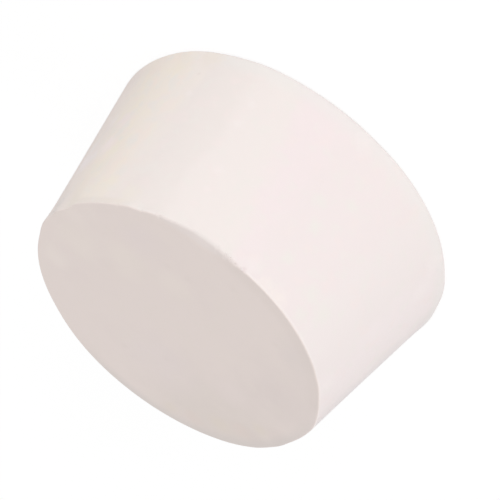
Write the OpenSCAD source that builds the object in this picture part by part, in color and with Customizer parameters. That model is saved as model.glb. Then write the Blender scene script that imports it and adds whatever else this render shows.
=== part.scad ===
// Solid tapered laboratory stopper, moulded in one piece from soft ivory rubber.
// It stands on its large end, and its small end goes down into the neck that it seals.

/* [Body] */
// Diameter of the large end, where its face and the side would meet in a sharp corner
large_end_d = 50; // [44:0.5:90]
// Diameter of the small end, where its face and the side would meet in a sharp corner
small_end_d = 42; // [20:0.5:49.5]
// Height from the large end's face to the small end's face
height = 24.5; // [12:0.5:60]

/* [Rims] */
// Radius of the rounded rim at the large end
large_rim_r = 0.5; // [0.2:0.05:3]
// Radius of the crisp rim at the small end
small_rim_r = 0.2; // [0.1:0.05:3]

/* [Hidden] */
rubber_ivory = [0.93, 0.89, 0.87];
curve_steps = 180;

// How far the rims' rounds stand out from the side, so that they join it without a sliver
weld = 0.0002;

// Angle between the side and the axis, and the side's length from corner to corner
taper = atan2((large_end_d - small_end_d) / 2, height);
side_length = height / cos(taper);

// Distance from a rim's sharp corner to where its round leaves the face and the side,
// for the angle that those two make inside the rubber
function setback(rim_r, inside_angle) = rim_r / tan(inside_angle / 2);

large_setback = setback(large_rim_r, 90 - taper);
small_setback = setback(small_rim_r, 90 + taper);

// A point on the side, by its distance up the side from the large end's corner
function on_side(distance) =
    [large_end_d / 2 - weld - distance * sin(taper), distance * cos(taper)];

// Half of the section, from the axis to the side, with a flat across each rim
module section_core() {
    polygon([
        [0, 0],
        [large_end_d / 2 - large_setback, 0],
        on_side(large_setback),
        on_side(side_length - small_setback),
        [small_end_d / 2 - small_setback, height],
        [0, height]
    ]);
}

// The round of one rim, which touches the end's face and the side
module rim_round(rim_r, from_axis, from_base) {
    translate([from_axis, from_base])
        circle(r = rim_r, $fn = curve_steps);
}

module stopper() {
    color(rubber_ivory)
        rotate_extrude($fn = curve_steps) {
            section_core();
            rim_round(large_rim_r, large_end_d / 2 - large_setback, large_rim_r);
            rim_round(small_rim_r, small_end_d / 2 - small_setback, height - small_rim_r);
        }
}

stopper();
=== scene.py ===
import math

import bmesh
import bpy
from mathutils import Matrix, Vector, noise


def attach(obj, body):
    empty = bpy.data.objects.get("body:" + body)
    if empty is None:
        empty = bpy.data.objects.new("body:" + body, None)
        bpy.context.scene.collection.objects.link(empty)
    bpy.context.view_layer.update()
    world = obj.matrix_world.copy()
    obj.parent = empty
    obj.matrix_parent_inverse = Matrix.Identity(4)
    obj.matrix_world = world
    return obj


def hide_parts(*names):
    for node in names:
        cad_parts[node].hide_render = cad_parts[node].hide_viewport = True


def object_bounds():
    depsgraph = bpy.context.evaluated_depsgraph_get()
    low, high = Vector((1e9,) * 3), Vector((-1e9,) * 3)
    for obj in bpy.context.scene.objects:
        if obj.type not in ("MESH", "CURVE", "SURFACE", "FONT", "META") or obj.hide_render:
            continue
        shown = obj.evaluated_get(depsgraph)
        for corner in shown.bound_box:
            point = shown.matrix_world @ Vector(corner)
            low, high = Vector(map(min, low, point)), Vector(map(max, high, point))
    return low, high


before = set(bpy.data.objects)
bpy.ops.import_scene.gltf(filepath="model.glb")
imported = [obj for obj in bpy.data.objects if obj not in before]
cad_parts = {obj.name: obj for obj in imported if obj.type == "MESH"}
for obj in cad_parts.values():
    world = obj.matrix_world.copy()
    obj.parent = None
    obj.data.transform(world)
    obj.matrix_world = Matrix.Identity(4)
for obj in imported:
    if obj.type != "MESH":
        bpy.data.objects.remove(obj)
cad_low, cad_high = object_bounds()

scene = bpy.context.scene

# ---------------------------------------------------------------------------------------
# The stopper: one solid lump of soft ivory rubber, pressed and cured in a polished mould,
# so it has flat ends, a straight tapered side and crisp rims. It stands on its large end,
# and nothing else is fixed to it. Its small rim has been rubbed and nicked in use.
# ---------------------------------------------------------------------------------------
MM = 0.001
# Two points closer than this are one
hair = 0.001 * MM
floor_level = cad_low.z
top_level = cad_high.z
height = top_level - floor_level
large_corner = 25 * MM
small_corner = 21 * MM
taper = math.atan2(large_corner - small_corner, height)
side_length = height / math.cos(taper)

# Each rim's arc, and how far from the sharp corner it leaves the face and the side. The
# profile has a point a little past that, and finer rings over the reach of the wear.
large_rim = 0.5 * MM
small_rim = 0.2 * MM
large_setback = large_rim / math.tan((math.pi / 2 - taper) / 2)
small_setback = small_rim / math.tan((math.pi / 2 + taper) / 2)
past_setback = 1.15
near_rim = 3 * MM

around = 960
rings_on_rims = 8


def on_side(distance):
    """A point of the profile's slanting side, at a distance from its large corner."""
    return (large_corner - distance * math.sin(taper), 0,
            floor_level + distance * math.cos(taper))


def round_rim(mesh, corner, setback):
    """Rounds one sharp rim of the spun mesh to an arc that runs into both its faces."""
    def at_corner(vert):
        off_radius = abs(math.hypot(vert.co.x, vert.co.y) - corner.x)
        off_level = abs(vert.co.z - corner.z)
        return max(off_radius, off_level) < hair
    rim = [edge for edge in mesh.edges if all(at_corner(vert) for vert in edge.verts)]
    bmesh.ops.bevel(
        mesh,
        geom=rim,
        affect="EDGES",
        offset_type="OFFSET",
        offset=setback,
        segments=rings_on_rims,
        profile=0.5,
        material=-1,
    )


# The profile, from the middle of the large end to the middle of the small end, and how
# many cuts the stretch after each point gets. The rings are closest beside the small rim.
profile = (
    ((0, 0, floor_level), 6),
    ((large_corner - past_setback * large_setback, 0, floor_level), 0),
    ((large_corner, 0, floor_level), 0),
    (on_side(past_setback * large_setback), 7),
    (on_side(near_rim), 12),
    (on_side(side_length - near_rim), 14),
    (on_side(side_length - past_setback * small_setback), 0),
    ((small_corner, 0, top_level), 0),
    ((small_corner - past_setback * small_setback, 0, top_level), 12),
    ((small_corner - near_rim, 0, top_level), 5),
    ((0, 0, top_level), 0),
)

body = bmesh.new()
corners = [body.verts.new(place) for place, cuts in profile]
strips = [body.edges.new(pair) for pair in zip(corners, corners[1:])]
for strip, (place, cuts) in zip(strips, profile):
    if cuts:
        bmesh.ops.subdivide_edges(body, edges=[strip], cuts=cuts)
bmesh.ops.spin(
    body,
    geom=body.verts[:] + body.edges[:],
    cent=(0, 0, 0),
    axis=(0, 0, 1),
    angle=2 * math.pi,
    steps=around,
    use_merge=True,
)
bmesh.ops.remove_doubles(body, verts=body.verts[:], dist=hair)
round_rim(body, Vector((large_corner, 0, floor_level)), large_setback)
round_rim(body, Vector((small_corner, 0, top_level)), small_setback)
bmesh.ops.recalc_face_normals(body, faces=body.faces[:])

# Places round the stopper are azimuths: 0 faces the front, and 90 is on the +X side.
# Rubbed stretches of the small rim: azimuth, half the width in degrees, how many times
# rounder the rim is there, and how far it is worn down in millimetres
rubbed_stretches = (
    (3, 9, 1.8, 0.05),
    (15, 18, 1.5, 0.32),
    (10, 7, 1.0, 0.07),
    (140, 18, 0.5, 0),
)
worn_reach = 1.8 * MM
# Dents and bulges: azimuth, half the width in degrees, how far outward and how far from
# the rim they reach, in millimetres
small_rim_dents = (
    (-20, 26, 0.15, 8),
    (-54, 6, -0.08, 3),
    (-66, 11, -0.12, 5),
    (-84, 9, 0.12, 4),
    (-92, 10, 0.07, 16),
    (-93, 8, -0.09, 3),
    (-102, 10, -0.14, 4),
    (-122, 7, 0.06, 3),
    (-131, 14, 0.10, 4),
    (-157, 15, -0.05, 4),
    (12, 16, 0.14, 3),
    (14.5, 3.5, 0.08, 2),
    (26, 4, 0.05, 2),
    (29, 5, 0.12, 2),
    (36, 4, -0.20, 1.5),
    (44, 5, -0.10, 2),
    (54, 16, -0.27, 6),
    (68, 10, -0.06, 3),
    (72, 8, -0.31, 5),
    (83, 5, -0.10, 3),
    (90, 9, 0.17, 4),
    (90, 12, 0.05, 16),
    (112, 22, 0.06, 4),
    (162, 28, 0.15, 3),
)
large_rim_dents = (
    (69, 16, -0.13, 3),
    (84, 9, -0.06, 3),
    (39, 9, -0.06, 3),
    (28, 8, 0.06, 3),
    (-2, 25, -0.11, 3),
    (4, 48, -0.11, 3),
    (77, 7, -0.04, 3),
    (37, 6, 0.04, 3),
    (13, 7, -0.03, 3),
    (-12, 8, -0.06, 3),
    (-71, 9, 0.12, 3),
    (-91, 12, 0.11, 5),
    (-92, 12, 0.05, 30),
)
# Nicks in the small rim: azimuth, half the width in degrees, and the depth in millimetres
nicks = (
    (-6.5, 0.9, 0.10),
    (-4.6, 0.7, 0.16),
    (-2.4, 1.3, 0.14),
    (-0.8, 0.7, 0.12),
    (0.8, 0.6, 0.16),
    (2.0, 0.6, 0.16),
    (5.3, 0.8, 0.10),
    (27.5, 0.9, 0.10),
    (34.6, 0.7, 0.08),
    (44.5, 0.9, 0.06),
)
nick_reach = 0.5 * MM
waviness = 0.012 * MM
wave_length = 4 * MM


def azimuth_of(place):
    """The azimuth of a point in degrees, from -180 to 180."""
    return math.degrees(math.atan2(place.x, -place.y))


def nearness(azimuth, centre, half_width):
    """1 at a centre, falling smoothly to 0 at half_width degrees on either side of it."""
    off = abs((azimuth - centre + 180) % 360 - 180) / half_width
    return max(0, 1 - off * off) ** 2


def fade(distance, reach):
    """1 at no distance, falling smoothly to 0 at the reach."""
    return max(0, 1 - distance / reach) ** 2


def eased(distance, rounder):
    """How far from the sharp corner a point at a distance goes when its rim is rounder."""
    share_left = max(0, (near_rim - distance) / (near_rim - small_setback))
    return distance + rounder * min(distance, small_setback * share_left)


# Each point is moved on the line from the sharp corner of the small rim, then outward and
# down. Points near the axis are pushed less, so the middles of the ends stay where they are
for vert in body.verts:
    place = vert.co
    radius = math.hypot(place.x, place.y)
    if radius < hair:
        continue
    outward = Vector((place.x / radius, place.y / radius, 0))
    azimuth = azimuth_of(place)
    above_floor = place.z - floor_level
    from_corner = Vector((radius - small_corner, place.z - top_level))
    distance = from_corner.length

    push = waviness * noise.noise(place / wave_length)
    drop = 0
    for centre, half_width, out, reach in large_rim_dents:
        push += nearness(azimuth, centre, half_width) * out * MM * fade(above_floor, reach * MM)
    for centre, half_width, out, reach in small_rim_dents:
        push += nearness(azimuth, centre, half_width) * out * MM * fade(distance, reach * MM)
    if distance < near_rim:
        rounder = 0
        for centre, half_width, more, worn in rubbed_stretches:
            rubbed = nearness(azimuth, centre, half_width)
            rounder += rubbed * more
            drop += rubbed * worn * MM * fade(distance, worn_reach)
        from_corner *= eased(distance, rounder) / distance
        for centre, half_width, deep in nicks:
            nick = nearness(azimuth, centre, half_width) * deep * MM * fade(distance, nick_reach)
            push -= nick
            drop += nick
    vert.co = outward * (small_corner + from_corner.x + push * min(1, radius / small_corner))
    vert.co.z = top_level + from_corner.y - drop
for face in body.faces:
    face.smooth = True

stopper_mesh = bpy.data.meshes.new("stopper_rubber")
body.to_mesh(stopper_mesh)
body.free()
stopper = bpy.data.objects.new("stopper_rubber", stopper_mesh)
scene.collection.objects.link(stopper)
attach(stopper, "root")
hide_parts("stopper")


class Wire:
    """A value or a colour on its way through a material. Its sums become Math nodes."""

    def __init__(self, tree, socket=None):
        self.tree = tree
        self.socket = socket

    def node(self, kind, settings, values, output=0):
        """Adds one node: its settings first, then its sockets' values or wires."""
        made = self.tree.nodes.new(kind)
        for name, setting in settings.items():
            setattr(made, name, setting)
        for name, value in values.items():
            if isinstance(value, Wire):
                self.tree.links.new(value.socket, made.inputs[name])
            else:
                made.inputs[name].default_value = value
        return Wire(self.tree, made.outputs[output]) if made.outputs else None

    def maths(self, operation, left, right):
        return self.node("ShaderNodeMath", {"operation": operation}, {0: left, 1: right})

    def __add__(self, other):
        return self.maths("ADD", self, other)

    __radd__ = __add__

    def __sub__(self, other):
        return self.maths("SUBTRACT", self, other)

    def __rsub__(self, other):
        return self.maths("SUBTRACT", other, self)

    def __mul__(self, other):
        return self.maths("MULTIPLY", self, other)

    __rmul__ = __mul__


rubber = bpy.data.materials.new("ivory_rubber")
rubber.use_nodes = True
rubber_tree = rubber.node_tree
rubber_tree.nodes.clear()

# The place being coloured, in metres, and its parts along X, Y and Z
here = Wire(rubber_tree).node("ShaderNodeTexCoord", {}, {}, "Object")
across, away, level = (
    here.node("ShaderNodeSeparateXYZ", {}, {0: here}, axis) for axis in "XYZ"
)
# Its azimuth in degrees, and how many millimetres it lies below the small end and above
# the large one
facing = here.maths("ARCTAN2", across, -1 * away) * math.degrees(1)
depth_below = (top_level - level) * (1 / MM)
height_above = (level - floor_level) * (1 / MM)


def ramp(value, low, high):
    """0 below low, 1 above high, and a smooth slope between them."""
    return value.node(
        "ShaderNodeMapRange",
        {"interpolation_type": "SMOOTHSTEP"},
        {"Value": value, "From Min": low, "From Max": high},
    )


def stretch(value, start, full, falling, end):
    """1 between full and falling, easing from 0 at start and back to 0 at end."""
    return ramp(value, start, full) * ramp(value, end, falling)


def cloud(size, detail, shift=(0, 0, 0)):
    """Soft noise between 0 and 1, with lumps of about one size, in metres."""
    moved = here.node("ShaderNodeMapping", {}, {"Vector": here, "Location": shift})
    return here.node(
        "ShaderNodeTexNoise", {}, {"Vector": moved, "Scale": 1 / size, "Detail": detail}
    )


def blend(mask, under, over):
    """Lays one colour over another where a mask is 1. A tint is red, green and blue."""
    below, above = (
        colour if isinstance(colour, Wire) else (*colour, 1) for colour in (under, over)
    )
    # The node has its factor at socket 0, its colours at 6 and 7, and its result at 2
    return here.node(
        "ShaderNodeMix", {"data_type": "RGBA"}, {0: mask, 6: below, 7: above}, 2
    )


def spot(centre, radius, softness, ruffle=0):
    """1 round a point, falling smoothly to 0 at a radius, whose edge a ruffle can shift."""
    gap = here.node(
        "ShaderNodeVectorMath", {"operation": "DISTANCE"}, {0: here, 1: centre}, "Value"
    )
    return ramp(gap + ruffle, radius, radius * (1 - softness))


def specks(spacing, radius, share):
    """Small round marks strewn through the rubber, in a share of cells of one spacing."""
    cells = {"Vector": here, "Scale": 1 / spacing}
    off_centre = here.node("ShaderNodeTexVoronoi", {}, cells, "Distance")
    luck = here.node("ShaderNodeTexVoronoi", {}, cells, "Color")
    chance = here.node("ShaderNodeSeparateColor", {}, {0: luck}, "Red")
    chosen = here.maths("LESS_THAN", chance, share)
    reach = chance * (radius / spacing / share)
    soft_edge = 0.3 * radius / spacing
    return ramp(reach - off_centre, 0, soft_edge) * chosen


def on_side_at(azimuth, depth):
    """A point of the side, at a depth below the small end in millimetres."""
    turn = math.radians(azimuth)
    radius = small_corner + depth * MM * math.tan(taper)
    return (radius * math.sin(turn), -radius * math.cos(turn), top_level - depth * MM)


# The side's colour drifts as one goes round it, and its first two tints are painted shade:
# the azimuth where a tint takes over, how far that leans over per millimetre down the side,
# half the change's width, and the tint
side_ivory = (0.912, 0.836, 0.808)
side_drifts = (
    # Painted shade, darker on the side from about azimuth -120 to -78
    (-110, 0, 12, (0.846, 0.793, 0.787)),
    (-84, 0, 4, (0.895, 0.824, 0.815)),
    (-77.5, 0, 3, (0.930, 0.848, 0.840)),
    (-57, 0, 5, (0.911, 0.835, 0.819)),
    (-33, 0, 4, (0.912, 0.823, 0.812)),
    (-4, 0, 4, (0.926, 0.825, 0.822)),
    (-1, 0.65, 4, (0.915, 0.842, 0.813)),
    (27, 0, 3, (0.894, 0.823, 0.791)),
    (45, 0, 4, (0.921, 0.843, 0.797)),
    (52, 0, 4, (0.938, 0.857, 0.782)),
    (72, 0, 5, (0.944, 0.852, 0.804)),
    (88, 0, 6, side_ivory),
)
# Broad noise makes these changes wander by some degrees, and finer noise ruffles spots
drifting = cloud(4 * MM, 3) - 0.5
ruffled = cloud(0.7 * MM, 3, (6, 2, 8)) - 0.5
wander = 12
loose_facing = facing + wander * drifting
side_skin = side_ivory
for start, lean, soft, tint in side_drifts:
    passed = ramp(loose_facing - lean * depth_below, start - soft, start + soft)
    side_skin = blend(passed, side_skin, tint)

# A cooler band beside the large rim, and painted shade on a stretch of the side just
# under the small one
low_ivory = (0.885, 0.855, 0.828)
under_rim_shade_tint = (0.890, 0.812, 0.752)
low_down = 0.6 * ramp(height_above, 3, 1) * ramp(facing, 48, 38)
# Painted shade just under the small rim, from azimuth 41 to 68
painted_under_rim_shade = ramp(depth_below, 1.2, 0.5) * stretch(facing, 41, 45, 62, 68)
side_skin = blend(low_down, side_skin, low_ivory)
side_skin = blend(painted_under_rim_shade, side_skin, under_rim_shade_tint)

# Mottling that runs all round, and is strongest on a yellower stretch of the +X side: the
# size of its lumps in millimetres, a shift of its pattern, the noise from which a lump
# starts and at which it is full, its strength and its tint
pink_mottle = (0.940, 0.825, 0.805)
green_mottle = (0.895, 0.850, 0.808)
yellow_mottle = (0.940, 0.868, 0.752)
orange_mottle = (0.958, 0.838, 0.775)
yellower_stretch = stretch(facing, 42, 54, 64, 76) * ramp(depth_below, 1, 4)
mottling = (
    (1.8, (3, 1, 2), 0.50, 0.72, 0.40, green_mottle),
    (2.4, (8, 4, 6), 0.52, 0.74, 0.35, pink_mottle),
    (3.2, (7, 5, 1), 0.47, 0.64, 0.52 * yellower_stretch, yellow_mottle),
    (2.6, (1, 9, 4), 0.50, 0.66, 0.50 * yellower_stretch, orange_mottle),
    (2.4, (4, 7, 7), 0.52, 0.68, 0.60 * yellower_stretch, green_mottle),
)
for size, shift, low, high, strength, tint in mottling:
    lumps = ramp(cloud(size * MM, 2, shift), low, high)
    side_skin = blend(strength * lumps, side_skin, tint)

# Pale scuffs in a row down the side, a rubbed row under the small rim, soft spots of
# other tints with one of painted shade beside the large rim, and one faint dark speck:
# azimuth, depth below the small end and radius in millimetres, strength and tint
scuffed = (0.955, 0.885, 0.865)
creamy = (0.970, 0.886, 0.835)
greyish = (0.945, 0.872, 0.855)
dust_brown = (0.45, 0.36, 0.31)
side_spots = (
    (23.9, 18.6, 0.9, 0.33, scuffed),
    (23.7, 15.5, 1.1, 0.33, scuffed),
    (20.1, 8.8, 1.1, 0.33, scuffed),
    (19.8, 6.0, 0.8, 0.33, scuffed),
    (44.5, 17.5, 0.8, 0.33, scuffed),
    (-6.5, 1.3, 1.9, 0.35, scuffed),
    (-14, 0.5, 1.7, 0.5, creamy),
    (-20, 0.8, 2.0, 0.5, creamy),
    (-62, 1.5, 2.2, 0.4, scuffed),
    (-54, 22.5, 2.4, 0.4, scuffed),
    (-61, 19.5, 2.4, 0.4, scuffed),
    (-9, 22.8, 2.2, 0.5, greyish),
    (73.5, 8.5, 2.2, 0.7, greyish),
    (74, 14, 1.8, 0.6, greyish),
    (67, 9.5, 2.2, 0.8, (0.980, 0.870, 0.850)),
    (66, 13.5, 2.2, 0.6, (0.945, 0.830, 0.840)),
    (78, 8, 2.8, 0.9, (0.970, 0.890, 0.880)),
    (78, 10.5, 2, 0.5, (0.945, 0.895, 0.875)),
    (66, 7.5, 2, 0.4, (0.990, 0.860, 0.800)),
    (80, 1.2, 3, 0.9, (0.875, 0.808, 0.780)),
    (54, 22, 3, 0.5, (0.925, 0.840, 0.745)),
    (66, 21.5, 3, 0.5, (0.935, 0.835, 0.760)),
    (42, 3.5, 2.5, 0.5, (0.890, 0.805, 0.775)),
    # Painted shade along the outline beside the large rim
    (44, 23.3, 2.6, 0.8, (0.900, 0.822, 0.755)),
    (80, 22.5, 4.5, 0.5, (0.885, 0.800, 0.760)),
    (-78, 22, 2, 0.5, (0.880, 0.825, 0.800)),
    (-30, 1.8, 1.8, 0.7, green_mottle),
    (-10, 13.2, 1.5, 0.8, green_mottle),
    (-14, 10.5, 1.6, 0.8, green_mottle),
    (-14, 5.2, 1.4, 0.8, green_mottle),
    (-28, 4.6, 2.0, 0.8, green_mottle),
    (-35.5, 4.2, 2.4, 0.8, green_mottle),
    (-18, 15.9, 1.3, 0.8, green_mottle),
    (55, 9.5, 1.8, 0.8, green_mottle),
    (42, 1.7, 2.4, 0.35, yellow_mottle),
    (45.4, 20.6, 0.4, 0.1, dust_brown),
)
for azimuth, depth, radius, strength, tint in side_spots:
    marked = spot(on_side_at(azimuth, depth), radius * MM, 1, radius * MM * ruffled)
    side_skin = blend(strength * marked, side_skin, tint)

# The ends are a little warmer and darker than the side. On the small one lie broad
# shades: how far right and back of its middle and radius in millimetres, strength, tint
end_ivory = (0.935, 0.830, 0.788)
light_shade = (0.956, 0.860, 0.802)
ochre_shade = (0.885, 0.790, 0.705)
rosy_shade = (0.885, 0.765, 0.708)
shades = (
    (-13, 14, 17, 0.9, (0.870, 0.780, 0.732)),
    (-17, -4, 11, 0.8, (0.892, 0.793, 0.758)),
    (-10.5, 4, 3.6, 0.6, (0.938, 0.832, 0.800)),
    (-18.5, 6, 3, 0.5, (0.865, 0.760, 0.725)),
    (-14, -14, 5, 0.5, (0.870, 0.782, 0.752)),
    (-14.5, -1.5, 5, 0.45, (0.865, 0.768, 0.735)),
    (-1, 9.5, 7.5, 0.7, (0.922, 0.818, 0.793)),
    (3.5, -8.5, 3.6, 0.7, light_shade),
    (10, -5.5, 4.8, 0.8, light_shade),
    (16.5, -2, 5, 0.8, light_shade),
    (10, -12, 4.5, 0.5, (0.920, 0.815, 0.795)),
    (17.5, 4.5, 3.2, 0.9, (0.967, 0.868, 0.815)),
    (18.6, -6.4, 2.8, 0.7, (0.965, 0.866, 0.812)),
    (17, -9.2, 2.4, 0.5, (0.965, 0.866, 0.812)),
    (-14.7, 10.3, 2.2, 0.6, rosy_shade),
    (-12.1, 12.5, 2.4, 0.6, ochre_shade),
    (-9, 16, 2.2, 0.6, rosy_shade),
    (-6, 17.5, 2.0, 0.5, ochre_shade),
    (-16.5, 7, 1.8, 0.6, ochre_shade),
    (-17, 9.5, 2.2, 0.5, (0.845, 0.750, 0.710)),
)
end_skin = end_ivory
for right, back, radius, strength, tint in shades:
    centre = (right * MM, back * MM, top_level)
    shade = spot(centre, radius * MM, 0.9, 0.8 * radius * MM * drifting)
    end_skin = blend(strength * shade, end_skin, tint)

# The ends have mottling of their own, in the same terms as the side's
end_mottling = (
    (6, (4, 4, 9), 0.48, 0.70, 0.2, (0.895, 0.792, 0.756)),
    (3.5, (9, 2, 3), 0.50, 0.72, 0.2, (0.918, 0.832, 0.765)),
)
for size, shift, low, high, strength, tint in end_mottling:
    lumps = ramp(cloud(size * MM, 2, shift), low, high)
    end_skin = blend(strength * lumps, end_skin, tint)

# Faint marks of handling on the small end, by how far right and back of its middle they
# are in millimetres
dim_brown = (0.840, 0.745, 0.700)
mark_radius = 0.9 * MM
mark_ruffle = 0.8 * MM
mark_strength = 0.17
marks = (
    (2.6, -11.4),
    (5.5, -10.9),
    (-2.4, -16.4),
    (-10.6, -12.4),
    (-12.6, -1.4),
    (3.9, 12),
    (-1.5, 7.7),
)
for right, back in marks:
    centre = (right * MM, back * MM, top_level)
    marked = spot(centre, mark_radius, 1, mark_ruffle * ruffled)
    end_skin = blend(mark_strength * marked, end_skin, dim_brown)

# Each end takes over from the side on its rim
on_small_end = ramp(depth_below, 0.20, 0.02)
on_large_end = ramp(height_above, 0.30, 0.02)
skin = blend(here.maths("MAXIMUM", on_small_end, on_large_end), side_skin, end_skin)

# At the rims: a tan stretch of wear where the small one is rubbed, a painted highlight
# along the rest of the small rim, painted light on the large rim against its shading from
# the floor, the end darker beside the front of the small rim, and painted shade on the edge
# of the end at the back. Each is a mask and the tint that it lays on
worn_tan = (0.882, 0.790, 0.758)
speck_and_highlight_ivory = (0.955, 0.880, 0.860)
rim_highlight_tint = (0.975, 0.888, 0.862)
foot_light_tint = (0.965, 0.900, 0.880)
back_edge_shade_tint = (0.800, 0.735, 0.705)
off_small_end = 1 - on_small_end
off_large_end = 1 - on_large_end
rubbed_part = stretch(loose_facing, -8, -3, 27, 33)
fray = 0.12
frayed_depth = depth_below - fray * (cloud(0.5 * MM, 3) - 0.5)
soiled = rubbed_part * ramp(frayed_depth, 0.52, 0.24) * off_small_end
small_rim_highlight_band = ramp(depth_below, 0.50, 0.15) * off_small_end
# Painted highlight along the small rim, outside its rubbed stretch
painted_rim_highlight = (1 - rubbed_part) * (0.5 - 0.4 * ramp(facing, 31, 37)) * small_rim_highlight_band
# A pinker painted highlight along the small rim on its -X side
left_rim_highlight = ramp(facing, -54, -60) * small_rim_highlight_band
# Painted light on the large rim, against its shading from the floor
painted_foot_light = ramp(height_above, 0.6, 0.3) * off_large_end
on_plan = here.node("ShaderNodeCombineXYZ", {}, {"X": across, "Y": away})
off_axis = here.node("ShaderNodeVectorMath", {"operation": "LENGTH"}, {0: on_plan}, "Value")
beside_rim = ramp(off_axis, small_corner - 2.4 * MM, small_corner - 0.6 * MM)
# The end a little darker beside the front of the small rim
darker_beside_rim = beside_rim * stretch(facing, -78, -70, 22, 30) * on_small_end
edge_of_end = ramp(off_axis, small_corner - 2.2 * MM, small_corner - 0.2 * MM)
# Painted shade on the edge of the small end, round the back
painted_back_edge_shade = edge_of_end * (1 - stretch(facing, -105, -75, 145, 180)) * on_small_end
wear = (
    (0.75 * soiled, worn_tan),
    (painted_rim_highlight, speck_and_highlight_ivory),
    (0.8 * left_rim_highlight, rim_highlight_tint),
    (0.5 * painted_foot_light, foot_light_tint),
    (0.33 * darker_beside_rim, dim_brown),
    (0.65 * painted_back_edge_shade, back_edge_shade_tint),
)
for mask, tint in wear:
    skin = blend(mask, skin, tint)

# Crumbs and bruises torn at the nicks: azimuth, depth below the small end and radius in
# millimetres, strength and tint
worn_rose = (0.820, 0.705, 0.700)
worn_lilac = (0.930, 0.890, 0.910)
crumb_dark = (0.50, 0.38, 0.34)
crumb_light = (0.97, 0.94, 0.93)
crumbs = (
    (1.9, 0.31, 0.15, 0.9, crumb_dark),
    (0.8, 0.10, 0.18, 0.9, crumb_dark),
    (0.2, 0.38, 0.14, 0.4, crumb_dark),
    (-0.2, 0.14, 0.18, 0.7, crumb_dark),
    (2.1, 0.02, 0.16, 0.9, crumb_dark),
    (-2.2, 0.10, 0.25, 0.9, crumb_dark),
    (4.8, 0.12, 0.13, 0.6, crumb_dark),
    (8.8, 0.10, 0.13, 0.6, crumb_dark),
    (12, 0.08, 0.12, 0.5, crumb_dark),
    (-5.5, 0.30, 0.50, 0.7, worn_rose),
    (-5, 0.08, 0.18, 0.7, worn_lilac),
    (5.3, 0.23, 0.12, 0.7, crumb_light),
    (0.7, 0.46, 0.10, 0.7, crumb_light),
    (2.2, 0.55, 0.12, 0.7, crumb_light),
    (-4.7, 0.15, 0.14, 0.6, crumb_light),
    (36, 0.25, 0.25, 0.5, crumb_light),
)
for azimuth, depth, radius, strength, tint in crumbs:
    crumb = spot(on_side_at(azimuth, depth), radius * MM, 1)
    skin = blend(strength * crumb, skin, tint)

# Specks all over: pale ones in the rubber, and finer ones of dust
pale_specks = specks(spacing=6 * MM, radius=0.35 * MM, share=0.6)
dust_specks = specks(spacing=5 * MM, radius=0.09 * MM, share=0.5)
skin = blend(0.2 * pale_specks, skin, speck_and_highlight_ivory)
skin = blend(0.25 * dust_specks, skin, dust_brown)

# A low satin gloss that varies, over a fine grain and a broader ripple from the mould
gloss = 0.1
least_roughness = 0.52
roughness_range = 0.16
bump_depth = 0.03 * MM
bump_strength = 0.3
roughness = least_roughness + roughness_range * cloud(1.2 * MM, 3, (5, 5, 5))
grain = cloud(0.35 * MM, 3)
ripple = cloud(1.6 * MM, 2, (2, 9, 4))
bumps = here.node(
    "ShaderNodeBump",
    {},
    {"Height": grain + 2 * ripple, "Strength": bump_strength, "Distance": bump_depth},
)
surface = here.node(
    "ShaderNodeBsdfPrincipled",
    {},
    {"Base Color": skin, "Roughness": roughness, "Normal": bumps, "Specular IOR Level": gloss},
)
here.node("ShaderNodeOutputMaterial", {}, {"Surface": surface})
stopper_mesh.materials.append(rubber)

# ---------------------------------------------------------------------------------------
# The floor: a wide sheet of matt white paper under the stopper. It looks nearly white from
# the front and in reflections, and still takes the stopper's soft shadow.
# ---------------------------------------------------------------------------------------
floor_size = 6
floor_gap = 0.02 * MM
full_white = (1, 1, 1, 1)
paper_white = (0.8, 0.8, 0.8, 1)
# What the camera sees is mostly a glow, and only this share is lit and shaded
shaded_share = (0.25, 0.25, 0.25, 1)
paper_glow = 0.82

paper_sheet = bmesh.new()
bmesh.ops.create_grid(paper_sheet, x_segments=1, y_segments=1, size=floor_size / 2)
bmesh.ops.translate(paper_sheet, verts=paper_sheet.verts[:], vec=(0, 0, floor_level - floor_gap))
floor_mesh = bpy.data.meshes.new("paper_floor")
paper_sheet.to_mesh(floor_mesh)
paper_sheet.free()
paper_floor = bpy.data.objects.new("paper_floor", floor_mesh)
scene.collection.objects.link(paper_floor)


def seen_or_mirrored(tree):
    """1 for what the camera sees straight, in a reflection or through glass, else 0."""
    rays = Wire(tree)
    seen = rays.node("ShaderNodeLightPath", {}, {}, "Is Camera Ray")
    mirrored = rays.node("ShaderNodeLightPath", {}, {}, "Is Glossy Ray")
    through = rays.node("ShaderNodeLightPath", {}, {}, "Is Transmission Ray")
    return rays.maths("MAXIMUM", rays.maths("MAXIMUM", seen, mirrored), through)


paper = bpy.data.materials.new("white_paper")
paper.use_nodes = True
paper_tree = paper.node_tree
paper_tree.nodes.clear()
sheet = Wire(paper_tree)
matt = sheet.node("ShaderNodeBsdfDiffuse", {}, {"Color": paper_white})
glow = sheet.node("ShaderNodeEmission", {}, {"Color": full_white, "Strength": paper_glow})
faint_matt = sheet.node("ShaderNodeBsdfDiffuse", {}, {"Color": shaded_share})
lit_glow = sheet.node("ShaderNodeAddShader", {}, {0: glow, 1: faint_matt})
sheet_finish = sheet.node(
    "ShaderNodeMixShader", {}, {0: seen_or_mirrored(paper_tree), 1: matt, 2: lit_glow}
)
sheet.node("ShaderNodeOutputMaterial", {}, {"Surface": sheet_finish})
floor_mesh.materials.append(paper)

# ---------------------------------------------------------------------------------------
# The light: an even white room, three low soft boxes round the front and a weak one behind.
# Nothing is so strong that the pale rubber burns out.
# ---------------------------------------------------------------------------------------
room_light = 0.61
lamp_distance = 0.9
lamp_width = 0.5
lamp_height = 0.35

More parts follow.
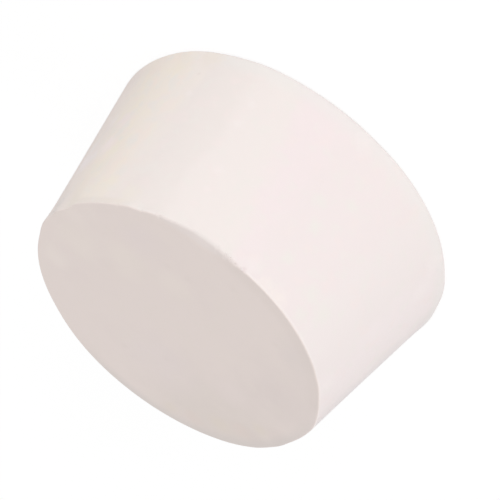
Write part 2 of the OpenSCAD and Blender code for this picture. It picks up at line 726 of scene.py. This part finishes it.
room = bpy.data.worlds.new("white_room")
room.use_nodes = True
room_tree = room.node_tree
room_tree.nodes.clear()
air = Wire(room_tree)
room_glow = air.node("ShaderNodeBackground", {}, {"Color": full_white, "Strength": room_light})
white = air.node("ShaderNodeBackground", {}, {"Color": full_white, "Strength": 1})
room_finish = air.node(
    "ShaderNodeMixShader", {}, {0: seen_or_mirrored(room_tree), 1: room_glow, 2: white}
)
air.node("ShaderNodeOutputWorld", {}, {"Surface": room_finish})
scene.world = room


def add_soft_box(name, azimuth, elevation, power):
    """A soft box that faces the stopper. Azimuth 0 is in front, 90 on its +X side."""
    turn = math.radians(azimuth)
    rise = math.radians(elevation)
    outward = Vector((
        math.sin(turn) * math.cos(rise),
        -math.cos(turn) * math.cos(rise),
        math.sin(rise),
    ))
    light = bpy.data.lights.new(name, "AREA")
    light.shape = "RECTANGLE"
    light.size = lamp_width
    light.size_y = lamp_height
    light.energy = power
    lamp = bpy.data.objects.new(name, light)
    lamp.location = Vector((0, 0, height / 2)) + outward * lamp_distance
    lamp.rotation_euler = outward.to_track_quat("Z", "Y").to_euler()
    scene.collection.objects.link(lamp)


add_soft_box("front_box", azimuth=0, elevation=12, power=2.4)
add_soft_box("left_box", azimuth=-90, elevation=12, power=1.65)
add_soft_box("right_box", azimuth=45, elevation=12, power=0.95)
add_soft_box("back_box", azimuth=180, elevation=12, power=1.0)

# ---------------------------------------------------------------------------------------
# The camera: a long lens above the front, turned so far over that the small end points
# down and to the left of what it sees.
# ---------------------------------------------------------------------------------------
camera_rise = math.radians(31.66)
camera_roll = math.radians(218.64)
camera_distance = 288.6 * MM
camera_aim = Vector((-1.13 * MM, -5.82 * MM, floor_level + height / 2))
focal_length = 165.5
film_width = 36

lens = bpy.data.cameras.new("camera")
lens.lens = focal_length
lens.sensor_width = film_width
camera = bpy.data.objects.new("camera", lens)
backward = Vector((0, -math.cos(camera_rise), math.sin(camera_rise)))
camera.location = camera_aim + backward * camera_distance
tilt = Matrix.Rotation(math.pi / 2 - camera_rise, 3, "X")
roll = Matrix.Rotation(camera_roll, 3, "Z")
camera.rotation_euler = (tilt @ roll).to_euler()
scene.collection.objects.link(camera)
scene.camera = camera
scene.view_settings.view_transform = "Standard"
